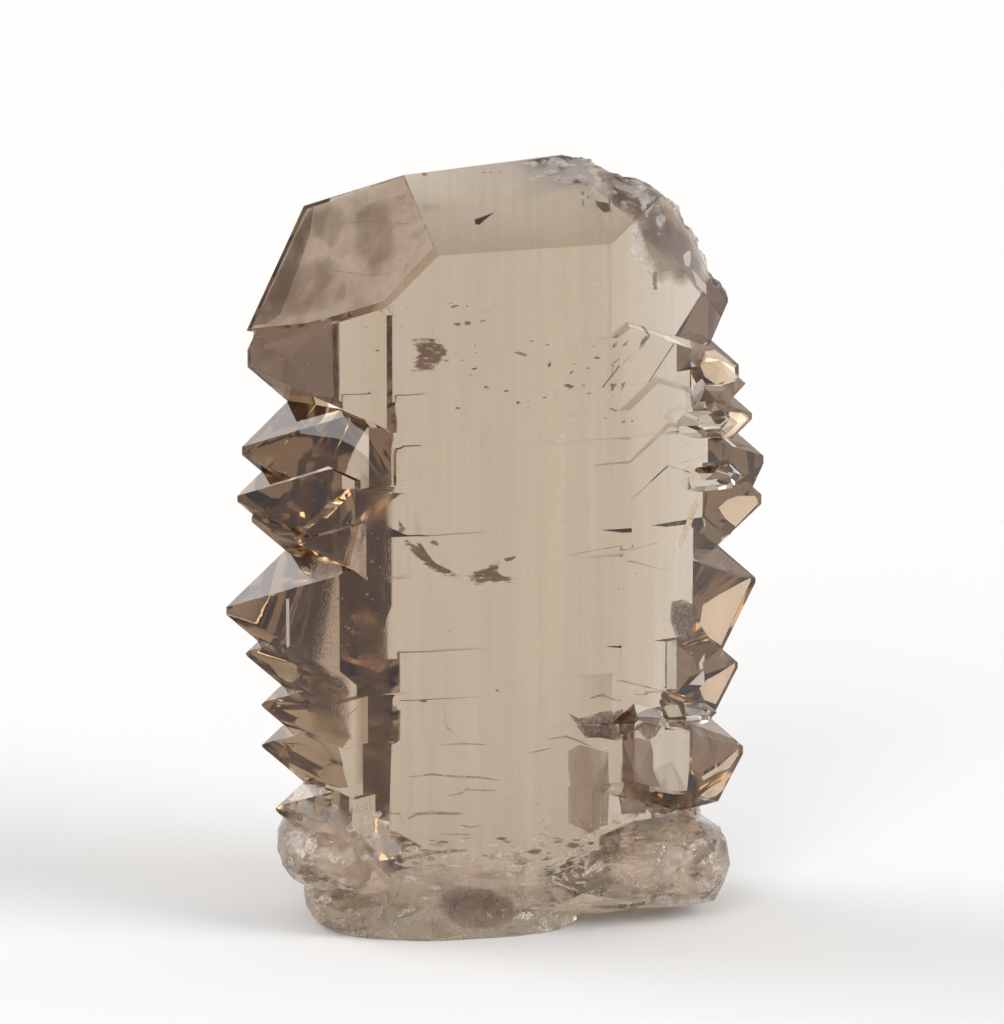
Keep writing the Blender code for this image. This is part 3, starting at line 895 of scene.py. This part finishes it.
class QUARTZ_OT_crystals(bpy.types.Operator):
    """Make the fused crystals with their broken foot and chipped shoulder"""

    bl_idname = "quartz.crystals"
    bl_label = "Fused crystals"

    def execute(self, context):
        settings = context.scene.quartz_gwindel
        crystals = copy_crystals()
        knobs = [knob(*spec, seed, settings.knob_grain) for seed, spec in enumerate(KNOBS, 1)]
        small = [small_crystal(*spec) for spec in SMALL_CRYSTALS]
        self.fuse(crystals, [growth_skin(), *small, *knobs], "UNION")
        self.fuse(crystals, [chisel(*spec, seed) for seed, spec in enumerate(CHIPS, 1)], "DIFFERENCE")
        self.mark_broken(crystals)
        crystals.data.materials.clear()
        crystals.data.materials.append(smoky_quartz(settings))
        choose_only(crystals)
        bpy.ops.object.shade_smooth_by_angle(angle=radians(14))
        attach(crystals, "root")
        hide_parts(NODE)
        return {"FINISHED"}

    def fuse(self, whole, parts, operation):
        """Joins the parts to the whole, or takes them out of it, and removes them."""
        group = bpy.data.collections.new(operation.lower())
        for part in parts:
            group.objects.link(part)
        finish = {"solver": "EXACT", "operand_type": "COLLECTION", "collection": group}
        add_modifier(whole, "BOOLEAN", operation=operation, **finish)
        for part in parts:
            bpy.data.objects.remove(part)
        bpy.data.collections.remove(group)

    def mark_broken(self, crystals):
        """Marks the faces of the broken foot, and the small ones that only the chipped shoulder has."""
        mark = crystals.data.attributes.new("broken", "FLOAT", "FACE")
        for face in crystals.data.polygons:
            x, _, z = face.center / MM

            # The foot is broken highest on the left, and least in the middle
            foot_top = 11.5 if x < -17 else 8.5 if x > 10 else 5.0
            chipped = face.area < CHIP_FACE and z > 58 and x > 6
            mark.data[face.index].value = 1.0 if z < foot_top or chipped else 0.0


class QUARTZ_OT_films(bpy.types.Operator):
    """Lay the films, cracks, veils and stains inside the crystals, and films of painted light and shade"""

    bl_idname = "quartz.films"
    bl_label = "Films and cracks"

    def execute(self, context):
        cracks = [ribbon_crack(*spec) for spec in RIBBONS]

        # Each piece: its films, how they end, their colour, opacity and fullness, and their patches' size
        # in millimetres and direction
        films = {
            "brown_films": (drawn(BROWN_FILMS), {}, "#8C6644", 0.85, 0.11, 0.5, LEVEL),
            "dark_flecks": (drawn(FLECKS), {}, "#7E6850", 0.85, 0.05, 0.3, LEVEL),
            "pepper": (strewn(PEPPER), {}, "#7E6850", 0.85, 0.05, 0.3, LEVEL),
            "dust": (strewn(DUST), {}, "#FFF8EE", 0.9, 0.1, 0.3),
            "edge_cracks": (cracks, {}, "#8A755E", 0.75, 0.0, 0.35),
            # Painted glints: pale films where cracks catch the light
            "bright_films": (drawn(GLINT_FILMS), {}, "#FFF6E6", 0.95, 0.10, 0.3, LEVEL),
            # Painted glint on the long wedge of a crack
            "bright_wedge": (drawn(GLINT_WEDGES), {}, "#FFEBC4", 0.9, 0.12, 1.2),
            # Painted light: pale warm films under the end faces on the right
            "warm_faces": (drawn(WARM_LIGHT_FILMS), SHARP, "#F6DCBC", 0.95, 0.3, 3.0),
            # Painted light and a painted highlight line, in cool pale films
            "pale_faces": (drawn(PALE_LIGHT_FILMS), SHARP, "#F5ECE4", 0.85, 0.3, 2.0),
            # Painted shade: brown see-through films
            "shades": (drawn(SHADES), SHARP, "#A8866C", 0.55, 0.2, 2.0, UPRIGHT),
            # Painted shade with upright striae
            "striped_face": (drawn(STRIPED), BLURRED, "#AC8A68", 0.75, 0.12, 0.9, UPRIGHT),
            "folds": (drawn(FOLDS), {"edge": 0.0, "soft": 0.2}, "#7A583C", 0.9, 0.16, 0.4),
            "hazes": (drawn(HAZES), {"edge": 0.1, "lace": 0.55, "soft": 0.3}, "#E8D2B8", 0.8, 0.15, 5.0),
            "mottles": (drawn(MOTTLES), CLOUDY, "#A07A56", 0.3, 0.05, 2.2, (1.0, 1.0, 0.3)),
            # Painted light: pale films where faces of the back show bright
            "windows": (drawn(WINDOW_LIGHT_FILMS), SHARP, "#F2E4D2", 0.8, 0.3, 6.0),
            "clouds": (drawn(CLOUDS), {"edge": -0.12, "lace": 0.6}, "#D8CCC2", 0.7, 0.12, 2.0),
            "shoulder_cloud": (drawn(SHOULDER), CLOUDY, "#B4977C", 0.8, 0.25, 3.0),
            "rim_shadow": (drawn(RIM_SHADOW), SHADOWY, "#865E40", 0.65, 0.15, 2.0),
            "foot_haze": (drawn(FOOT_HAZES), CLOUDY, "#EED6C0", 0.5, 0.2, 2.5),
            "foot_veils": (strewn(FOOT_VEILS), {}, "#FFF1E2", 0.9, 0.03, 0.7),
            "foot_patches": (strewn(FOOT_PATCHES), {"lace": 0.6}, "#8E6E56", 0.7, 0.03, 1.0, LEVEL),
            "shoulder_veils": (strewn(SHOULDER_VEILS), WISPY, "#F4EEE8", 0.6, 0.04, 1.2),
            "iron_stains": (strewn(IRON_STAINS), {}, "#DA6E44", 0.8, 0.07, 0.3),
        }
        for name, (parts, ends, *finish) in films.items():
            choose_only(*parts)
            bpy.ops.object.join()
            piece = context.object
            piece.name = piece.data.name = name
            piece.data.materials.append(flaw_material(name.replace("_", " "), *finish, **ends))
            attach(piece, "root")
        return {"FINISHED"}


class QUARTZ_OT_stage(bpy.types.Operator):
    """Set the floor, the white surroundings and the camera"""

    bl_idname = "quartz.stage"
    bl_label = "Studio"

    def execute(self, context):
        settings = context.scene.quartz_stage
        self.lay_floor(settings)
        self.light(context, settings)
        self.place_camera(context, settings)
        context.scene.view_settings.view_transform = "Standard"
        context.scene.cycles.max_bounces = 24
        context.scene.cycles.transmission_bounces = 24
        context.scene.cycles.glossy_bounces = 12
        context.scene.cycles.transparent_max_bounces = 16
        return {"FINISHED"}

    def lay_floor(self, settings):
        """A round sheet of matt card, 10 m wide."""
        bpy.ops.object.select_all(action="DESELECT")
        place = (0, 0, -0.05 * MM)
        bpy.ops.mesh.primitive_circle_add(vertices=96, radius=5.0, fill_type="NGON", location=place)
        settle()
        floor = bpy.context.object
        floor.name = floor.data.name = "studio_floor"
        material, tree, output = new_material("matt white card")
        surface = add_node(
            tree,
            "ShaderNodeBsdfPrincipled",
            {"Base Color": (*settings.floor, 1), "Roughness": 0.95, "Specular IOR Level": 0.2},
        )
        tree.links.new(surface.outputs[0], output.inputs["Surface"])
        floor.data.materials.append(material)

    def light(self, context, settings):
        """White surroundings, as in a light tent: brightest round the horizon."""
        world = bpy.data.worlds.new("light tent")
        world.use_nodes = True
        tree = world.node_tree
        tree.nodes.clear()
        output = add_node(tree, "ShaderNodeOutputWorld")
        direction = add_node(tree, "ShaderNodeTexCoord").outputs["Generated"]
        height = add_node(tree, "ShaderNodeSeparateXYZ", links={"Vector": direction}).outputs["Z"]
        fall = between(tree, height, 0.1, 0.45, 1.0, 0.6)
        glow = calculate(tree, "MULTIPLY", fall, settings.brightness)
        for way, half_width, brightness in SOFTBOXES:
            middle = {1: Vector(way).normalized()}
            facing = add_node(tree, "ShaderNodeVectorMath", middle, {0: direction}, operation="DOT_PRODUCT")
            outer, inner = (cos(radians(half_width + edge)) for edge in (0.3, -0.3))
            box = between(tree, facing.outputs["Value"], outer, inner, 0.0, brightness)
            glow = calculate(tree, "ADD", glow, box)
        white = {"Color": linear("#FFFFFF")}
        background = add_node(tree, "ShaderNodeBackground", white, {"Strength": glow})
        tree.links.new(background.outputs[0], output.inputs["Surface"])
        context.scene.world = world

    def place_camera(self, context, settings):
        """A long lens from the front, a little above."""
        aim = Vector((0.0004, -0.0008, settings.height))
        back = Vector((0, -cos(VIEW_TILT), sin(VIEW_TILT)))
        bpy.ops.object.camera_add(location=aim + back * settings.distance)
        camera = context.object
        camera.rotation_euler = (-back).to_track_quat("-Z", "Y").to_euler()
        camera.data.lens = camera.data.sensor_width * settings.distance / VIEW_WIDTH
        context.scene.camera = camera


class QUARTZ_PT_panel(bpy.types.Panel):
    """Lists the steps and their settings in the 3D view's sidebar"""

    bl_idname = "QUARTZ_PT_panel"
    bl_label = "Smoky quartz gwindel"
    bl_space_type = "VIEW_3D"
    bl_region_type = "UI"
    bl_category = "Quartz"

    def draw(self, context):
        for group, steps in (("quartz_gwindel", PIECES), ("quartz_stage", (QUARTZ_OT_stage,))):
            box = self.layout.box()
            settings = getattr(context.scene, group)
            for name in settings.__annotations__:
                box.prop(settings, name)
            for step in steps:
                box.operator(step.bl_idname)


PIECES = (QUARTZ_OT_crystals, QUARTZ_OT_films)
CLASSES = (QuartzSettings, StageSettings, *PIECES, QUARTZ_OT_stage, QUARTZ_PT_panel)


def register():
    for cls in CLASSES:
        bpy.utils.register_class(cls)
    bpy.types.Scene.quartz_gwindel = bpy.props.PointerProperty(type=QuartzSettings)
    bpy.types.Scene.quartz_stage = bpy.props.PointerProperty(type=StageSettings)


def unregister():
    del bpy.types.Scene.quartz_stage
    del bpy.types.Scene.quartz_gwindel
    for cls in reversed(CLASSES):
        bpy.utils.unregister_class(cls)


def main():
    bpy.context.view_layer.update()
    register()
    for step in (*PIECES, QUARTZ_OT_stage):
        group, name = step.bl_idname.split(".")
        getattr(getattr(bpy.ops, group), name)()


if __name__ == "__main__":
    main()
